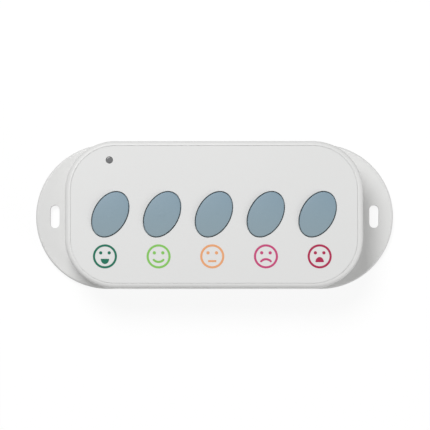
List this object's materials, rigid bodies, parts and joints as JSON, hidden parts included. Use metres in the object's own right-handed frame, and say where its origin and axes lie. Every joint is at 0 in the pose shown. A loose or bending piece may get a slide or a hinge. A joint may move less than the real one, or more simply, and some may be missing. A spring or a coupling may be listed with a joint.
{
  "type": "customer feedback button terminal",
  "caption": "Slim white feedback terminal with slanted oval push buttons over printed rating faces, and slotted wings on its back cover for fixing it to a wall or counter stand.",
  "frame": {"origin": "centre of the back cover's back face, which is the middle of the whole part's footprint", "axes": "+X to the right of the face, +Y to the top of the face, +Z straight out of the face"},
  "size_m": [0.173, 0.07, 0.0304],
  "materials": {
    "case_front": "fine satin moulded texture",
    "label_film": "matt printed film",
    "case_back": "fine satin moulded texture",
    "lens": "smoked and polished",
    "screw_steel": "zinc plated",
    "ink_very_happy": "printed ink",
    "ink_happy": "printed ink",
    "ink_neutral": "printed ink",
    "ink_unhappy": "printed ink",
    "ink_very_unhappy": "printed ink",
    "button_plastic": "satin",
    "switch_plastic": "moulded",
    "switch_steel": "plated",
    "plunger_plastic": "moulded",
    "dome_steel": "spring steel",
    "board": "green solder mask over glass laminate",
    "chip_plastic": "moulded epoxy",
    "can_steel": "tinned",
    "capacitor_can": "drawn can",
    "led_resin": "clear resin",
    "radio_board": "blue solder mask",
    "antenna_wire": "drawn wire",
    "holder_plastic": "moulded",
    "cell_wrap": "shrink sleeve over steel",
    "contact_steel": "nickel plated",
    "foam": "closed-cell foam"
  },
  "bodies": {
    "case": {"front_cover": "case_front", "panel_label": "label_film", "back_cover": "case_back", "indicator_lens": "lens", "cover_screws": "screw_steel", "board_screws": "screw_steel", "print_very_happy": "ink_very_happy", "print_happy": "ink_happy", "print_neutral": "ink_neutral", "print_unhappy": "ink_unhappy", "print_very_unhappy": "ink_very_unhappy", "switch_housing_1": "switch_plastic", "switch_lid_1": "switch_steel", "switch_dome_1": "dome_steel", "switch_housing_2": "switch_plastic", "switch_lid_2": "switch_steel", "switch_dome_2": "dome_steel", "switch_housing_3": "switch_plastic", "switch_lid_3": "switch_steel", "switch_dome_3": "dome_steel", "switch_housing_4": "switch_plastic", "switch_lid_4": "switch_steel", "switch_dome_4": "dome_steel", "switch_housing_5": "switch_plastic", "switch_lid_5": "switch_steel", "switch_dome_5": "dome_steel", "setup_switch_housing": "switch_plastic", "setup_switch_lid": "switch_steel", "setup_switch_dome": "dome_steel", "main_board": "board", "controller_chip": "chip_plastic", "programming_header": "chip_plastic", "clock_crystal": "can_steel", "radio_shield": "can_steel", "reservoir_capacitors": "capacitor_can", "status_led": "led_resin", "radio_module": "radio_board", "antenna_coil": "antenna_wire", "battery_holder": "holder_plastic", "battery_1": "cell_wrap", "battery_2": "cell_wrap", "battery_spring_1": "contact_steel", "battery_spring_2": "contact_steel", "battery_plus_plate": "contact_steel", "battery_minus_plate": "contact_steel", "battery_link_plate": "contact_steel", "battery_pad": "foam"},
    "button_1": {"button_cap_1": "button_plastic", "switch_plunger_1": "plunger_plastic"},
    "button_2": {"button_cap_2": "button_plastic", "switch_plunger_2": "plunger_plastic"},
    "button_3": {"button_cap_3": "button_plastic", "switch_plunger_3": "plunger_plastic"},
    "button_4": {"button_cap_4": "button_plastic", "switch_plunger_4": "plunger_plastic"},
    "button_5": {"button_cap_5": "button_plastic", "switch_plunger_5": "plunger_plastic"},
    "setup_button": {"setup_switch_plunger": "plunger_plastic"}
  },
  "joints": [
    {"name": "button_1_press", "type": "slide", "parent": "case", "child": "button_1", "axis": [0, 0, -1], "range_m": [0, 0.0005], "stiffness_N_per_m": 3000, "springref_m": -0.0003, "deforming": ["switch_dome_1"]},
    {"name": "button_2_press", "type": "slide", "parent": "case", "child": "button_2", "axis": [0, 0, -1], "range_m": [0, 0.0005], "stiffness_N_per_m": 3000, "springref_m": -0.0003, "deforming": ["switch_dome_2"]},
    {"name": "button_3_press", "type": "slide", "parent": "case", "child": "button_3", "axis": [0, 0, -1], "range_m": [0, 0.0005], "stiffness_N_per_m": 3000, "springref_m": -0.0003, "deforming": ["switch_dome_3"]},
    {"name": "button_4_press", "type": "slide", "parent": "case", "child": "button_4", "axis": [0, 0, -1], "range_m": [0, 0.0005], "stiffness_N_per_m": 3000, "springref_m": -0.0003, "deforming": ["switch_dome_4"]},
    {"name": "button_5_press", "type": "slide", "parent": "case", "child": "button_5", "axis": [0, 0, -1], "range_m": [0, 0.0005], "stiffness_N_per_m": 3000, "springref_m": -0.0003, "deforming": ["switch_dome_5"]},
    {"name": "setup_button_press", "type": "slide", "parent": "case", "child": "setup_button", "axis": [0, 0, 1], "range_m": [0, 0.0005], "stiffness_N_per_m": 3000, "springref_m": -0.0003, "deforming": ["setup_switch_dome"]}
  ]
}
